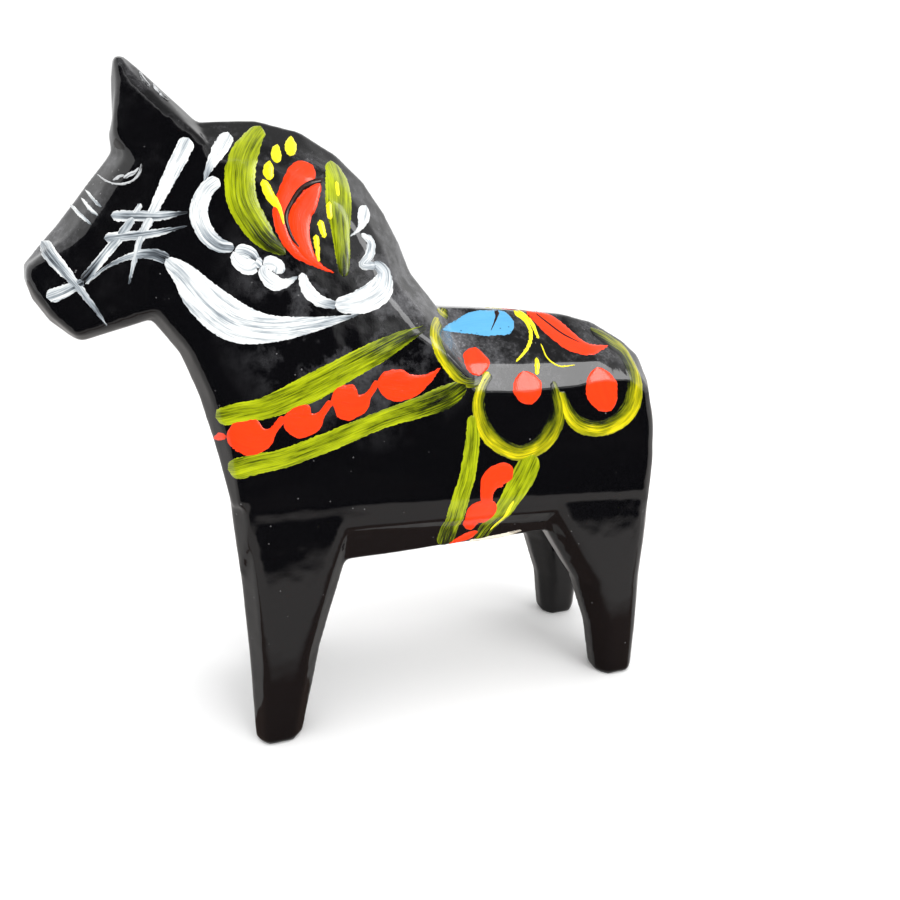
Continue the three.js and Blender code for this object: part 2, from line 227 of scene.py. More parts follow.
def brush_paint(name, colours, across, streak, dry=0.0, speckle=0.0):
    """Gloss paint put on with a brush.

    colours are (cover, colour) stops from bare lacquer up to thick paint, across is how thickly the
    paint lies from one edge of the stroke to the other, streak is how strongly the bristles show,
    dry is how much paint is missing where the stroke ends, and speckle is how deep its pinholes are.
    """
    n = Nodes(name)
    span = n.split(n.uv("span"))
    strands = n.stretch(n.uv("brush"), (1, 0.028, 1))
    bristles = n.curve(n.noise(strands, 4.2, 4, 0.6), [(0.3, 0), (0.7, 1)])
    pools = n.stretch(n.uv("brush"), (1, 0.2, 1))
    patches = n.curve(n.noise(pools, 0.7, 3, 0.6), [(0.3, 0), (0.7, 1)])
    load = n.curve(span[0], across)
    missing = n.math("MULTIPLY", n.curve(span[1], [(0.62, 0), (1.0, 1)]), dry)
    uneven = n.math("ADD", n.math("MULTIPLY", bristles, 0.6), n.math("MULTIPLY", patches, 0.5))
    comb = n.math("MULTIPLY", n.math("SUBTRACT", uneven, 0.55), streak)
    cover = n.math("SUBTRACT", n.math("ADD", load, comb), missing, clamp=True)
    hole = n.curve(n.cells(n.place(), 700), [(0.0, speckle), (0.10, speckle), (0.16, 0)])
    cover = n.math("SUBTRACT", cover, hole, clamp=True)
    n.link(n.ramp(cover, [(0.0, LACQUER)] + colours), n.shader.inputs["Base Color"])
    n.shader.inputs["Roughness"].default_value = 0.16
    n.shader.inputs["Coat Weight"].default_value = 0.4
    n.shader.inputs["Coat Roughness"].default_value = 0.04
    ridges = n.bump(bristles, 0.00002)
    waves = n.bump(n.noise(n.place(), 110, 2, 0.4), 0.0001, normal=ridges)
    n.link(waves, n.shader.inputs["Normal"])
    return n.material


def paper():
    """Cream paper with visible fibres."""
    n = Nodes("label_paper")
    fibres = n.noise(n.place(), 900, 5, 0.7)
    n.link(n.mix(fibres, srgb("d9cba8"), srgb("f2ead6")), n.shader.inputs["Base Color"])
    n.shader.inputs["Roughness"].default_value = 0.85
    n.link(n.bump(fibres, 0.00004), n.shader.inputs["Normal"])
    return n.material


# How thickly paint lies across a stroke, from one edge to the other.
EVEN = [(0.0, 0.9), (1.0, 0.9)]
STREAKY = [(0.0, 0.98), (0.4, 0.84), (0.6, 0.87), (1.0, 0.98)]
PALE_MIDDLE = [(0.0, 0.95), (0.3, 0.55), (0.6, 0.6), (1.0, 0.95)]
OUTER_EDGE = [(0.0, 0.5), (0.1, 0.78), (0.35, 0.84), (0.58, 0.62), (0.78, 0.34), (1.0, 0.0)]
DARK_MIDDLE = [(0.0, 0.85), (0.35, 0.65), (0.65, 0.6), (1.0, 0.85)]

# The colour of each paint, from where it barely covers the lacquer up to where it is thickest.
GREEN_COATS = [(0.3, srgb("3a4402")), (0.6, srgb("828f04")), (1.0, srgb("b0bc0c"))]
LOOP_COATS = [
    (0.2, srgb("20280a")), (0.5, srgb("686e04")), (0.78, srgb("a8a404")), (1.0, srgb("e4d206")),
]
RED_COATS = [(0.3, srgb("7a1804")), (0.6, srgb("ea3206")), (1.0, srgb("f63c08"))]
BLUE_COATS = [(0.3, srgb("24506e")), (0.6, srgb("509cca")), (1.0, srgb("5eaad6"))]
WHITE_COATS = [(0.3, srgb("4c5258")), (0.6, srgb("9aa2a8")), (1.0, srgb("e9ebea"))]
YELLOW_COATS = [(0.3, srgb("8a7c08")), (0.6, srgb("efe012")), (1.0, srgb("fdf020"))]
# Crinkled lacquer: its pale grey is a painted glint, where the crinkles catch the light.
CRINKLE_GLINT_COATS = [(0.45, srgb("3a3a3c")), (0.8, srgb("c4c6c8"))]
TORN_COATS = [(0.3, srgb("6a5a48")), (0.7, srgb("efe6d2"))]
GAP_COATS = [(1.0, srgb("2a120c"))]

BLACK_PAINT = lacquer()
GREEN = brush_paint("green_paint", GREEN_COATS, DARK_MIDDLE, 1.1, dry=0.5)
LOOP = brush_paint("yellow_green_paint", LOOP_COATS, OUTER_EDGE, 0.9, dry=0.5)
RED = brush_paint("red_paint", RED_COATS, EVEN, 0.35, dry=0.1)
BLUE = brush_paint("blue_paint", BLUE_COATS, EVEN, 0.3, dry=0.1, speckle=0.5)
WHITE = brush_paint("white_paint", WHITE_COATS, STREAKY, 1.1, dry=0.4)
THIN_WHITE = brush_paint("thin_white_paint", WHITE_COATS, PALE_MIDDLE, 1.1, dry=0.5)
YELLOW = brush_paint("yellow_paint", YELLOW_COATS, EVEN, 0.2)
# Crinkled lacquer with painted glints: pale grey where its crinkles catch the light.
CRINKLE_GLINTS = brush_paint("crinkled_lacquer_glints", CRINKLE_GLINT_COATS, EVEN, 2.0)
TORN_EDGE = brush_paint("torn_paper", TORN_COATS, EVEN, 1.6, dry=0.3)
GAP = brush_paint("bare_gap", GAP_COATS, EVEN, 0.6)


# ---------------------------------------------------------------- the lacquered skin

def apply_modifiers(piece):
    """Turns a mesh and its modifiers into one plain mesh."""
    evaluated = piece.evaluated_get(bpy.context.evaluated_depsgraph_get())
    mesh = bpy.data.meshes.new_from_object(evaluated)
    piece.modifiers.clear()
    piece.data = mesh


def new_piece(name, mesh, material):
    """A smooth-shaded object in one material."""
    piece = bpy.data.objects.new(name, mesh)
    bpy.context.scene.collection.objects.link(piece)
    mesh.materials.clear()
    mesh.materials.append(material)
    mesh.polygons.foreach_set("use_smooth", [True] * len(mesh.polygons))
    return piece


def hand_worked(mesh):
    """Moves the skin in and out a little, as the knife and the thick lacquer leave it."""
    normals = [vertex.normal.copy() for vertex in mesh.vertices]
    places = [vertex.co.copy() for vertex in mesh.vertices]
    moved = []
    for place, normal in zip(places, normals):
        wave = noise.noise(place / MM / KNIFE_WAVE_SIZE) * KNIFE_WAVE
        lump = noise.noise(place / MM / LUMP_SIZE) * LUMP
        moved += list(place + normal * (wave + lump) * MM)
    mesh.vertices.foreach_set("co", moved)
    mesh.update()


def lacquered_skin():
    """The wooden body: the CAD body's knife-cut facets, softened by hand work and thick lacquer."""
    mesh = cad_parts["carved_body"].data.copy()
    piece = new_piece("lacquered_body", mesh, BLACK_PAINT)
    remesh = piece.modifiers.new("cells", "REMESH")
    remesh.mode = "VOXEL"
    remesh.voxel_size = VOXEL * MM
    soften = piece.modifiers.new("soften", "SMOOTH")
    soften.iterations = SOFTEN
    apply_modifiers(piece)
    hand_worked(piece.data)
    piece.data.polygons.foreach_set("use_smooth", [True] * len(piece.data.polygons))
    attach(piece, "root")
    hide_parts("carved_body")
    return piece


# ---------------------------------------------------------------- brush strokes

def brush_line(points):
    """The stroke's middle line: a smooth curve through its points, one sample for each STEP."""
    p = np.array(points, float)
    p = np.vstack([2 * p[0] - p[1], p, 2 * p[-1] - p[-2]])
    samples = []
    for a, b, c, d in zip(p, p[1:], p[2:], p[3:]):
        count = max(2, math.ceil(math.dist(b[:2], c[:2]) / STEP))
        t = np.linspace(0, 1, count, endpoint=False)[:, None]
        bend = (2 * a - 5 * b + 4 * c - d) * t ** 2 + (3 * b - a - 3 * c + d) * t ** 3
        samples.append((2 * b + (c - a) * t + bend) / 2)
    return np.vstack([*samples, p[-2:-1]])


def rounded_ends(half, along):
    """Half-widths that close in a round end at both ends of the stroke."""
    total = along[-1]
    near = np.minimum(along / max(half[0], 0.2), (total - along) / max(half[-1], 0.2))
    near = np.clip(near, 0, 1)
    return half * np.sqrt(1 - (1 - near) ** 2)


def stroke_mesh(points, skin, side, height, seed, fade):
    """Vertices, faces and the two UV layers of one stroke, laid on the skin of one side.

    fade is how much wider the stroke is on one side, where the paint thins out.
    """
    line = brush_line(points)
    forward = np.gradient(line[:, :2], axis=0)
    forward /= np.maximum(np.linalg.norm(forward, axis=1, keepdims=True), 1e-9)
    across = np.stack([-forward[:, 1], forward[:, 0]], axis=1)
    steps = np.linalg.norm(np.diff(line[:, :2], axis=0), axis=1)
    along = np.concatenate([[0], np.cumsum(steps)])
    half = rounded_ends(np.maximum(line[:, 2], HAIRLINE) / 2 * SPREAD, along)
    columns = max(4, math.ceil((line[:, 2].max() + fade) / STEP))
    vertices, brush, span = [], [], []
    for i, (y, z, _) in enumerate(line):
        shake = 1 + WOBBLE * noise.noise(Vector((along[i] * 0.8, seed * 7.3, 0)))
        spread = fade * half[i] / half.max()
        for j in range(columns + 1):
            u = 2 * j / columns - 1
            fray = FRAY * noise.noise(Vector((along[i] * 2.5, seed * 3.1, math.copysign(9, u))))
            offset = u * half[i] * shake + u ** 3 * fray + spread * j / columns
            place = (y + across[i, 0] * offset, z + across[i, 1] * offset)
            hit, normal = skin_point(skin, side, *place)
            thinner = 1 - LOOP_THINNING * j / columns if fade else 1
            rise = height * thinner * (1 - u ** 4) - EDGE_SINK * u ** 4
            vertices.append(hit + normal * rise * MM)
            brush.append((offset + seed * NEXT_STROKE, along[i]))
            span.append((j / columns, along[i] / along[-1]))
    faces = []
    for i in range(len(line) - 1):
        for j in range(columns):
            k = i * (columns + 1) + j
            ring = [k, k + 1, k + columns + 2, k + columns + 1]
            faces.append(ring if side > 0 else ring[::-1])
    return vertices, faces, brush, span


def skin_point(skin, side, y, z):
    """Where the skin is at (y, z) on one side, and which way it faces there."""
    start = Vector((side * RAY_FROM, y, z)) * MM
    hit, normal, _, _ = skin.ray_cast(start, Vector((-side, 0, 0)))
    if hit is None:
        hit, normal, _, _ = skin.find_nearest(Vector((side * RAY_MISSED, y, z)) * MM)
    return hit, normal


def paint_strokes(name, strokes, material, skin, side, order, fade):
    """One piece of paint: its strokes, laid one over another."""
    vertices, faces, brush, span = [], [], [], []
    for index, points in enumerate(strokes):
        height = PAINT + LAYER * (order + index)
        v, f, b, s = stroke_mesh(points, skin, side, height, order * 5 + index, fade)
        faces += [[corner + len(vertices) for corner in face] for face in f]
        vertices += v
        brush += b
        span += s
    mesh = bpy.data.meshes.new(name)
    mesh.from_pydata(vertices, [], faces)
    for layer, values in (("brush", brush), ("span", span)):
        uv = mesh.uv_layers.new(name=layer)
        for loop in mesh.loops:
            uv.data[loop.index].uv = values[loop.vertex_index]
    piece = new_piece(name, mesh, material)
    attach(piece, "root")
    return piece


# The decoration of one side, in painting order: the CAD node's name (or None where the stroke is
# too small to have one), the piece's name, its paint, its slot, and its strokes.
DECORATION = [
    ("breast_band_upper", "breast_band_upper", GREEN, "green_paint", [
        [[-31.2, 69.0, 3.4], [-27.0, 69.8, 3.5], [-22.1, 70.5, 3.9], [-14.6, 73.3, 4.9], [-6.8, 77.0, 4.4],
         [-1.5, 79.4, 4.0], [3.4, 81.7, 2.6], [7.6, 83.3, 0.7]],
    ]),
    ("breast_band_lower", "breast_band_lower", GREEN, "green_paint", [
        [[-30.1, 59.4, 4.3], [-25.4, 60.3, 3.8], [-20.0, 61.0, 3.6], [-11.7, 63.4, 3.7], [-1.8, 66.6, 3.4],
         [5.8, 68.5, 4.2], [11.2, 70.2, 4.6], [14.8, 72.3, 2.3]],
    ]),
    ("breast_beads", "breast_beads", RED, "red_paint", [
        [[-28.4, 68.0, 2.4], [-27.2, 66.4, 6.2], [-25.2, 65.4, 7.0], [-23.2, 65.3, 4.4], [-21.9, 66.0, 1.7],
         [-20.6, 67.4, 1.3], [-19.4, 68.6, 1.6]],
        [[-19.5, 68.7, 1.8], [-18.2, 68.1, 5.2], [-16.2, 67.6, 6.5], [-14.4, 67.4, 4.2], [-13.2, 68.2, 1.7],
         [-12.0, 69.6, 1.2], [-10.9, 70.9, 1.5]],
        [[-11.0, 71.0, 1.8], [-9.7, 70.9, 5.2], [-7.6, 70.3, 6.6], [-5.6, 70.2, 4.2], [-4.4, 71.1, 1.7],
         [-3.2, 72.5, 1.2], [-2.1, 74.0, 1.4]],
        [[-2.4, 73.6, 1.8], [-0.9, 73.4, 4.6], [1.4, 72.9, 6.0], [4.0, 72.6, 4.6], [6.8, 73.5, 2.3],
         [8.6, 74.7, 1.0], [9.9, 75.7, 0.2]],
        [[-32.1, 64.7, 0.5], [-30.7, 65.5, 1.4], [-29.8, 65.9, 0.5]],
    ]),
    ("girth_band_front", "girth_band_front", GREEN, "green_paint", [
        [[15.9, 66.0, 1.8], [16.1, 62.6, 2.7], [15.9, 59.6, 3.0], [14.8, 53.6, 3.4], [13.0, 48.0, 3.7],
         [10.8, 37.3, 4.0]],
    ]),
    ("girth_band_rear", "girth_band_rear", GREEN, "green_paint", [
        [[29.1, 56.8, 4.4], [27.0, 52.6, 5.4], [24.0, 47.6, 4.6], [21.4, 42.7, 4.0], [18.4, 37.3, 3.0]],
    ]),
    (None, "girth_accent", YELLOW, "yellow_paint", [
        [[24.8, 47.4, 1.2], [23.7, 45.2, 1.5], [22.5, 42.2, 1.1], [21.0, 39.8, 0.4]],
    ]),
    ("girth_beads", "girth_beads", RED, "red_paint", [
        [[24.4, 52.2, 3.4], [22.4, 53.2, 5.0], [20.0, 52.2, 4.6], [18.9, 49.6, 2.8], [19.0, 46.8, 2.6]],
        [[20.6, 47.6, 2.4], [19.2, 46.0, 5.6], [17.4, 44.4, 6.4], [16.4, 42.8, 4.0], [16.6, 40.6, 1.4]],
        [[18.2, 40.0, 0.8], [15.7, 38.9, 2.1], [12.0, 37.7, 0.4]],
    ]),
    ("saddle_loop_front", "saddle_loop_front", LOOP, "yellow_paint", [
        [[12.3, 86.1, 0.6], [13.4, 85.1, 1.2], [14.6, 84.2, 1.0]],
        [[11.6, 84.5, 1.8], [9.2, 82.7, 1.7], [9.1, 79.8, 1.5], [10.7, 76.2, 1.3], [13.5, 72.9, 1.3],
         [16.4, 71.9, 1.2], [19.2, 72.8, 1.0]],
    ]),
    ("saddle_loop_rear", "saddle_loop_rear", LOOP, "yellow_paint", [
        [[34.7, 69.3, 1.2], [36.4, 64.8, 2.0], [39.4, 61.6, 2.5], [44.1, 60.4, 2.5], [48.7, 61.7, 2.9],
         [51.7, 64.7, 3.2], [52.6, 68.9, 2.9], [52.5, 72.9, 2.9], [52.2, 76.3, 2.8], [49.3, 78.8, 2.4],
         [46.0, 80.8, 1.1]],
    ]),
    ("saddle_loop_middle", "saddle_loop_middle", LOOP, "yellow_paint", [
        [[20.0, 74.1, 1.4], [18.0, 71.6, 1.6], [17.0, 68.2, 1.9], [17.6, 64.3, 2.2], [19.7, 60.7, 2.4],
         [23.3, 57.9, 2.4], [26.7, 56.9, 2.4], [30.9, 58.2, 2.9], [33.8, 61.5, 3.1], [34.8, 65.4, 2.6],
         [34.1, 68.9, 1.8], [33.4, 71.5, 0.8]],
    ]),
    (None, "saddle_stems", YELLOW, "yellow_paint", [
        [[29.7, 85.0, 1.3], [31.5, 83.0, 1.0], [31.5, 80.5, 0.8], [29.7, 78.1, 0.6], [26.0, 75.6, 0.3]],
        [[30.9, 85.0, 1.1], [32.6, 82.7, 1.0], [32.8, 79.5, 0.6]],
        [[32.8, 78.5, 0.3], [33.1, 75.8, 0.3], [35.3, 74.3, 0.3], [38.7, 74.3, 0.2]],
    ]),
    ("saddle_leaf_blue", "saddle_leaf_blue", BLUE, "blue_paint", [
        [[11.9, 82.3, 0.3], [15.7, 82.5, 2.0], [18.9, 82.9, 3.8], [22.4, 83.0, 4.8], [26.1, 83.0, 4.8],
         [28.7, 82.9, 3.0]],
    ]),
    (None, "saddle_leaf_blue_gap", GAP, "black_lacquer", [
        [[25.9, 85.2, 1.9], [25.0, 83.7, 1.1], [22.9, 81.4, 0.2]],
    ]),
    ("saddle_leaf_red", "saddle_leaf_red", RED, "red_paint", [
        [[32.4, 85.0, 1.0], [35.1, 83.4, 3.8], [37.6, 81.0, 4.8], [39.9, 78.7, 4.2], [43.2, 77.1, 2.2],
         [48.4, 77.3, 0.2]],
    ]),
    (None, "saddle_leaf_red_gap", GAP, "black_lacquer", [
        [[34.4, 84.3, 0.9], [36.2, 82.4, 1.3], [38.6, 80.1, 1.3], [41.8, 78.2, 0.3]],
    ]),
    ("saddle_dot_front", "saddle_dot_front", RED, "red_paint", [
        [[18.4, 78.6, 3.6], [17.8, 76.1, 5.3], [17.9, 73.5, 3.1]],
    ]),
    ("saddle_dot_middle", "saddle_dot_middle", RED, "red_paint", [
        [[27.2, 73.8, 3.2], [27.8, 70.6, 6.0], [28.6, 67.2, 3.2]],
    ]),
    (None, "saddle_dash", YELLOW, "yellow_paint", [
        [[30.6, 76.1, 1.0], [30.1, 72.9, 1.0]],
    ]),
    ("saddle_dot_rear", "saddle_dot_rear", RED, "red_paint", [
        [[43.4, 73.6, 3.3], [44.2, 69.2, 7.0], [46.5, 64.5, 3.3]],
    ]),
    ("mane_leaf_front", "mane_leaf_front", GREEN, "green_paint", [
        [[-18.6, 119.1, 2.3], [-20.6, 116.0, 3.5], [-22.2, 112.9, 4.5], [-23.1, 109.3, 4.8],
         [-23.0, 105.6, 4.9], [-21.6, 102.3, 4.7], [-19.6, 99.2, 3.5], [-16.6, 96.8, 1.1]],
    ]),
    ("mane_leaf_rear", "mane_leaf_rear", GREEN, "green_paint", [
        [[-6.9, 113.3, 2.2], [-6.3, 109.6, 4.2], [-6.6, 105.1, 4.5], [-6.7, 100.8, 3.2], [-6.7, 96.6, 2.5],
         [-6.8, 92.7, 1.6]],
    ]),
    ("mane_petal", "mane_petal", RED, "red_paint", [
        [[-10.5, 111.8, 4.3], [-13.3, 109.6, 4.2], [-15.5, 106.6, 3.0], [-17.0, 103.3, 2.3],
         [-16.5, 99.7, 1.8], [-14.7, 96.8, 1.4], [-11.9, 94.7, 0.4]],
        [[-9.6, 108.7, 0.9], [-11.6, 106.1, 3.0], [-13.6, 102.9, 3.7], [-13.7, 99.5, 3.0],
         [-12.6, 96.4, 2.1], [-10.7, 94.5, 0.9], [-8.5, 93.4, 0.2]],
    ]),
    (None, "mane_petal_gap", GAP, "black_lacquer", [
        [[-9.0, 109.4, 0.7], [-11.2, 108.8, 1.1], [-13.2, 107.6, 1.1], [-14.9, 105.4, 0.9],
         [-16.0, 103.1, 0.9], [-15.4, 100.0, 0.7], [-14.1, 97.8, 0.4]],
    ]),
    (None, "mane_dots", YELLOW, "yellow_paint", [
        [[-13.5, 117.4, 0.8], [-13.8, 115.5, 2.0], [-14.2, 113.4, 1.2]],
        [[-16.2, 115.4, 0.8], [-16.6, 113.8, 1.8], [-16.5, 112.1, 1.1]],
        [[-17.8, 112.4, 0.8], [-18.2, 110.8, 1.8], [-18.0, 109.2, 1.1]],
        [[-19.3, 109.3, 1.4], [-18.3, 106.6, 1.6], [-17.0, 104.8, 1.4], [-16.4, 101.7, 0.3]],
        [[-6.6, 109.2, 1.1], [-6.6, 106.5, 1.1]],
        [[-8.3, 105.6, 1.2], [-8.3, 102.5, 1.1]],
        [[-10.2, 102.5, 1.2], [-9.6, 99.4, 0.9]],
        [[-11.1, 100.0, 1.1], [-11.0, 95.3, 0.5]],
    ]),
    ("mane_scroll", "mane_scroll", WHITE, "white_paint", [
        [[-26.5, 109.4, 2.1], [-28.8, 107.6, 2.4], [-30.4, 104.0, 2.9], [-29.6, 100.5, 2.9],
         [-27.6, 98.5, 2.4], [-25.1, 98.0, 1.4]],
        [[-25.4, 97.3, 1.2], [-24.6, 95.7, 2.4], [-23.2, 94.9, 3.0], [-21.8, 95.4, 2.6], [-20.9, 94.6, 0.7]],
        [[-25.1, 97.4, 1.3], [-23.7, 97.4, 2.3], [-22.3, 96.7, 2.1], [-21.7, 95.6, 1.3]],
        [[-20.6, 95.1, 1.3], [-19.4, 95.3, 2.4], [-18.2, 94.6, 2.5], [-18.5, 93.4, 2.2]],
        [[-20.6, 95.0, 0.9], [-20.4, 93.4, 2.2], [-19.0, 92.0, 2.6], [-17.2, 91.8, 1.6], [-14.9, 92.9, 0.4]],
        [[-14.1, 93.5, 1.1], [-13.6, 91.1, 2.1], [-11.8, 88.8, 2.1], [-8.5, 87.7, 1.3]],
        [[-3.1, 100.1, 0.7], [-1.4, 98.7, 1.6], [-1.9, 96.4, 1.6], [-3.3, 94.7, 1.3], [-0.9, 94.5, 1.5]],
        [[-8.9, 87.7, 2.2], [-4.4, 88.2, 4.0], [-0.6, 90.2, 4.4], [0.5, 93.2, 2.6], [-1.2, 95.2, 1.6]],
    ]),
    ("mane_comma_front", "mane_comma_front", WHITE, "white_paint", [
        [[-24.3, 117.6, 2.3], [-25.3, 115.4, 2.6], [-26.9, 112.9, 1.9], [-28.2, 110.7, 1.0],
         [-29.0, 109.0, 0.3]],
    ]),
    ("mane_comma_rear", "mane_comma_rear", WHITE, "white_paint", [
        [[-1.4, 105.3, 2.2], [-2.1, 103.3, 2.4], [-3.2, 101.1, 0.9], [-5.2, 99.6, 0.2]],
    ]),
    (None, "neck_leaf_line", THIN_WHITE, "white_paint", [
        [[-49.9, 92.5, 0.3], [-46.2, 95.2, 0.5], [-42.3, 96.8, 1.0], [-38.8, 97.2, 1.7], [-35.9, 96.1, 2.1]],
    ]),
    ("neck_leaf", "neck_leaf", WHITE, "white_paint", [
        [[-36.5, 96.3, 1.7], [-33.7, 93.4, 4.1], [-30.9, 89.4, 6.2], [-26.3, 85.5, 6.7], [-20.5, 84.1, 4.6],
         [-13.6, 84.5, 2.7], [-7.3, 85.5, 0.9], [-4.7, 86.1, 0.2]],
    ]),
    (None, "cheek_strap", WHITE, "white_paint", [
        [[-30.7, 116.0, 2.4], [-32.3, 113.3, 2.5], [-35.4, 108.1, 1.9], [-37.9, 103.7, 1.5],
         [-40.3, 99.5, 1.2], [-42.9, 92.3, 0.2]],
    ]),
    ("bridle", "bridle", THIN_WHITE, "white_paint", [
        [[-39.5, 105.4, 0.7], [-42.6, 101.2, 1.4], [-46.1, 97.4, 1.5], [-50.4, 93.0, 1.4]],
        [[-56.5, 90.4, 2.4], [-53.8, 91.3, 2.0], [-50.2, 92.9, 1.2]],
        [[-44.5, 103.5, 1.9], [-41.5, 103.5, 1.7], [-36.7, 103.4, 1.5], [-32.0, 104.0, 0.2]],
        [[-46.0, 99.8, 1.9], [-42.7, 100.2, 1.5], [-37.8, 100.6, 1.2], [-32.5, 101.7, 0.2]],
        [[-57.2, 99.8, 2.0], [-55.1, 97.3, 2.4], [-51.7, 92.7, 1.5], [-49.3, 89.0, 0.9], [-47.3, 85.6, 0.2]],
    ]),
    (None, "nose_marks", WHITE, "white_paint", [
        [[-48.9, 108.3, 0.3], [-47.2, 106.2, 0.5], [-45.9, 105.0, 0.3]],
        [[-49.6, 106.9, 0.4], [-48.0, 104.8, 0.6], [-46.6, 103.6, 0.3]],
        [[-51.9, 106.0, 0.4], [-50.4, 104.4, 0.7], [-47.9, 102.2, 0.3]],
    ]),
]


def decorate(skin):
    """Every motif on both sides. The right side mirrors the left."""
    for side, hand in ((1, "left"), (-1, "right")):
        for order, (node, name, material, slot, strokes) in enumerate(DECORATION):
            fade = LOOP_FADE if material is LOOP else 0
            piece = paint_strokes(f"paint_{name}_{hand}", strokes, material, skin, side, order, fade)
            if node:
                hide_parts(f"{node}_{hand}")


# Painted glints and a torn edge, all on the left side: crinkled lacquer on the forehead, its glints painted
# pale grey, painted glints at the ear tip, and the label's torn paper edge. Each row gives the piece's name,
# its material, its slot and its strokes.
WEAR_AND_GLINTS = [
    # Crinkled lacquer on the forehead, its glints painted as pale grey strokes.
    ("forehead_crinkle_glints", CRINKLE_GLINTS, "black_lacquer", [
        [[-46.6, 110.8, 0.15], [-45.2, 109.6, 0.35], [-43.6, 108.8, 0.2], [-42.0, 108.7, 0.35],
         [-40.4, 109.2, 0.2], [-39.2, 110.4, 0.4], [-38.7, 111.8, 0.15]],
        [[-41.8, 109.6, 0.2], [-40.8, 110.2, 0.7], [-39.9, 110.6, 0.4], [-39.2, 111.2, 0.2]],
        [[-43.6, 109.3, 0.15], [-42.6, 109.9, 0.4], [-41.7, 110.1, 0.15]],
    ]),
    # Pale lines at the ear tip: painted glints.
    ("ear_tip_glints", CRINKLE_GLINTS, "black_lacquer", [
        [[-37.9, 127.4, 0.2], [-37.2, 125.9, 0.5], [-36.3, 124.7, 0.2]],
        [[-36.0, 125.4, 0.15], [-34.9, 123.9, 0.35], [-33.6, 122.7, 0.15]],
    ]),
    ("label_edge", TORN_EDGE, "label_paper", [
        [[16.6, 37.7, 0.4], [20.0, 37.7, 0.8], [23.6, 37.8, 0.9], [26.6, 38.2, 0.8], [28.4, 38.6, 0.2]],
    ]),
]


def wear_and_glints(skin):
    """The pale spots of the left side: painted glints on the forehead's crinkled lacquer and at the ear tip,
    and the label's torn edge. The right side hasn't any.
    """
    for order, (name, material, slot, strokes) in enumerate(WEAR_AND_GLINTS):
        piece = paint_strokes(f"worn_and_glinting_{name}", strokes, material, skin, 1, len(DECORATION) + order, 0)


# ---------------------------------------------------------------- studio

HORSE_MIDDLE = (0, 0, 0.06)
FLOOR_SIZE = 8.0
ROOM_LIGHT = 0.85      # radiance of the white room in the gloss
CEILING_LIGHT = 0.25   # and of its ceiling
CEILING_FROM = 0.62    # how high the ceiling starts, as the sine of the angle
CEILING_FULL = 0.85    # and where it is as dark as it gets
ROOM_SEEN = 1.12       # how white the room is otherwise, behind the horse and as its light
DARK_START = 0.012     # where the dark floor starts, from the horse's middle plane
NEAR_FLOOR = 0.2       # the floor's strips below are shares of this distance
WARM_STRIP = [(0.3, 0), (0.4, 1)]           # where the warm near floor gives way to the dark one
PALE_STRIP = [(0.19, 0), (0.25, 1), (0.45, 1), (0.55, 0)]       # a paler strip between them
DARK_RADIUS = 0.5      # how far the dark wall is
DARK_FROM, DARK_TO = -70, 70        # its ends, in degrees round from +X towards +Y
DARK_FALLS = (-20, 8)               # between these its top falls
DARK_RISES = (58, 14)               # from the first height to the second, in degrees above the floor


def glow(name, place, size, radiance):
    """A square soft light of the given radiance, aimed at the middle of the horse."""
    light = bpy.data.lights.new(name, "AREA")
    light.size = size
    light.energy = radiance * math.pi * size ** 2
    lamp = bpy.data.objects.new(name, light)
    bpy.context.scene.collection.objects.link(lamp)
    lamp.location = place
    lamp.rotation_euler = (Vector(HORSE_MIDDLE) - Vector(place)).to_track_quat("-Z", "Y").to_euler()
    return lamp


def surroundings():
    """White all round, with a darker ceiling that only the gloss sees."""
    world = bpy.data.worlds.new("room")
    bpy.context.scene.world = world
    world.use_nodes = True
    tree = world.node_tree
    background = tree.nodes["Background"]
    way = tree.nodes.new("ShaderNodeTexCoord").outputs["Generated"]
    parts = tree.nodes.new("ShaderNodeSeparateXYZ")
    tree.links.new(way, parts.inputs[0])
    ceiling = tree.nodes.new("ShaderNodeMapRange")
    ceiling.inputs["From Min"].default_value = CEILING_FROM
    ceiling.inputs["From Max"].default_value = CEILING_FULL
    ceiling.inputs["To Min"].default_value = ROOM_LIGHT
    ceiling.inputs["To Max"].default_value = CEILING_LIGHT
    tree.links.new(parts.outputs[2], ceiling.inputs["Value"])
    mirrored = tree.nodes.new("ShaderNodeLightPath").outputs["Is Glossy Ray"]
    strength = tree.nodes.new("ShaderNodeMix")
    tree.links.new(mirrored, strength.inputs[0])
    strength.inputs[2].default_value = ROOM_SEEN
    tree.links.new(ceiling.outputs[0], strength.inputs[3])
    background.inputs["Color"].default_value = (1, 1, 1, 1)
    tree.links.new(strength.outputs[0], background.inputs["Strength"])


def white_floor():
    """A square sheet under the hoofs."""
    mesh = bpy.data.meshes.new("floor")
    h = FLOOR_SIZE / 2
    mesh.from_pydata([(-h, -h, 0), (h, -h, 0), (h, h, 0), (-h, h, 0)], [], [[0, 1, 2, 3]])
    sheet = bpy.data.objects.new("floor", mesh)
    sheet.location = (0, 0, cad_box[0][2])
    bpy.context.scene.collection.objects.link(sheet)
    mesh.materials.append(floor_paint())


def floor_paint():
    """White to the eye, and grey in the gloss, which would otherwise turn every low face pale."""
    n = Nodes("pale_floor")
    pale = n.mix(n.noise(n.place(), 6, 3, 0.5), srgb("fbfbfb"), srgb("fefefe"))
    mirrored = n.add("ShaderNodeLightPath").outputs["Is Glossy Ray"]
    n.link(n.mix(mirrored, pale, srgb("a8a5a3")), n.shader.inputs["Base Color"])
    n.shader.inputs["Roughness"].default_value = 0.9
    return n.material


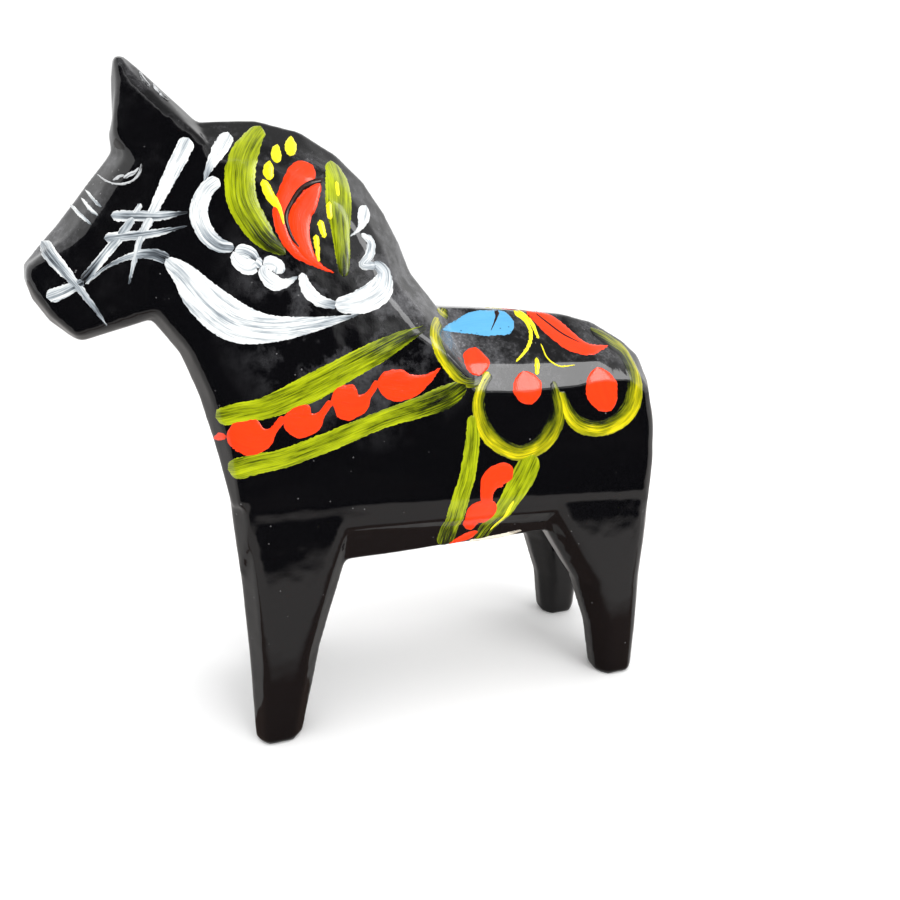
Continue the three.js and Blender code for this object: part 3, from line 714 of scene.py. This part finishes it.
def dark_room_paint():
    """Dark, with a warm floor next to the horse and a pale strip beyond it, and a white top edge."""
    n = Nodes("dark_room")
    at = n.place()
    tone = n.noise(n.stretch(at, (1, 1, 0.25)), 9, 3, 0.6)
    shade = n.ramp(tone, [(0.45, srgb("0a0a0c")), (0.75, srgb("2c2a2a"))])
    out = n.math("MULTIPLY", n.split(at)[0], 1 / NEAR_FLOOR)
    ground = n.mix(n.curve(out, WARM_STRIP), srgb("64554e"), shade)
    banded = n.mix(n.curve(out, PALE_STRIP), ground, srgb("a09c9a"))
    top = n.curve(n.split(n.uv("span"))[1], [(0.86, 0), (1.0, 1)])
    n.link(n.mix(top, banded, srgb("f6f6f6")), n.shader.inputs["Base Color"])
    n.shader.inputs["Roughness"].default_value = 1.0
    n.shader.inputs["Specular IOR Level"].default_value = 0.0
    return n.material


def dark_room_points():
    """Three points for each direction: the floor's near edge, the wall's foot and its top."""
    lift = Vector((0, 0, 0.001))
    points = []
    for turn in range(DARK_FROM, DARK_TO + 1, 5):
        way = Vector((math.cos(math.radians(turn)), math.sin(math.radians(turn)), 0))
        rise = math.tan(math.radians(float(np.interp(turn, DARK_FALLS, DARK_RISES))))
        near = Vector((DARK_START, DARK_START * way.y / way.x, 0))
        foot = way * DARK_RADIUS
        points += [near + lift, foot + lift, foot + Vector((0, 0, DARK_RADIUS * rise)) + lift]
    return points


def dark_room():
    """The unlit side of the room, which only the gloss sees: it keeps the flat sides black.

    It is a dark floor that starts under the horse, and a wall round its far edge that is taller
    towards the horse's head than towards its rump. A paler strip of the floor lights the faces
    that lean inwards, and the wall fades into the white room at its top.
    """
    points = dark_room_points()
    faces = []
    for first in range(0, len(points) - 3, 3):
        faces += [[first + k, first + k + 3, first + k + 4, first + k + 1] for k in range(2)]
    mesh = bpy.data.meshes.new("dark_side")
    mesh.from_pydata(points, [], faces)
    uv = mesh.uv_layers.new(name="span")
    for loop in mesh.loops:
        uv.data[loop.index].uv = (0, loop.vertex_index % 3 / 2)
    side = bpy.data.objects.new("dark_side", mesh)
    bpy.context.scene.collection.objects.link(side)
    mesh.materials.append(dark_room_paint())
    for kind in ("camera", "diffuse", "transmission", "shadow"):
        setattr(side, f"visible_{kind}", False)


def studio():
    """The room, its floor, a soft light above that the gloss doesn't see, and a window."""
    surroundings()
    dark_room()
    white_floor()
    above = glow("above", (0.1, 0.1, 0.9), 0.8, 1.6)
    above.visible_glossy = False
    glow("window", (0.75, 0.42, 0.5), 0.5, 4.2)


# The camera looks at the horse's left side from slightly ahead of it and above its back.
CAMERA_PLACE = (139.8, -23.0, 91.8)
CAMERA_TURN = (75.28, 1.37, 73.45)     # degrees
CAMERA_LENS = 26.0


def camera():
    data = bpy.data.cameras.new("camera")
    data.lens = CAMERA_LENS
    data.sensor_width = 36
    data.clip_start = 0.01
    data.clip_end = 50
    eye = bpy.data.objects.new("camera", data)
    eye.location = Vector(CAMERA_PLACE) * MM
    eye.rotation_euler = [math.radians(angle) for angle in CAMERA_TURN]
    bpy.context.scene.collection.objects.link(eye)
    bpy.context.scene.camera = eye


def show_true_colours():
    """Colours as the materials give them, without a film curve."""
    view = bpy.context.scene.view_settings
    view.view_transform = "Standard"
    view.look = "None"


camera()
show_true_colours()
skin_piece = lacquered_skin()
skin_tree = BVHTree.FromPolygons(
    [v.co.copy() for v in skin_piece.data.vertices],
    [list(p.vertices) for p in skin_piece.data.polygons],
)
decorate(skin_tree)
wear_and_glints(skin_tree)
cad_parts["belly_label"].material_slots[0].material = paper()
studio()
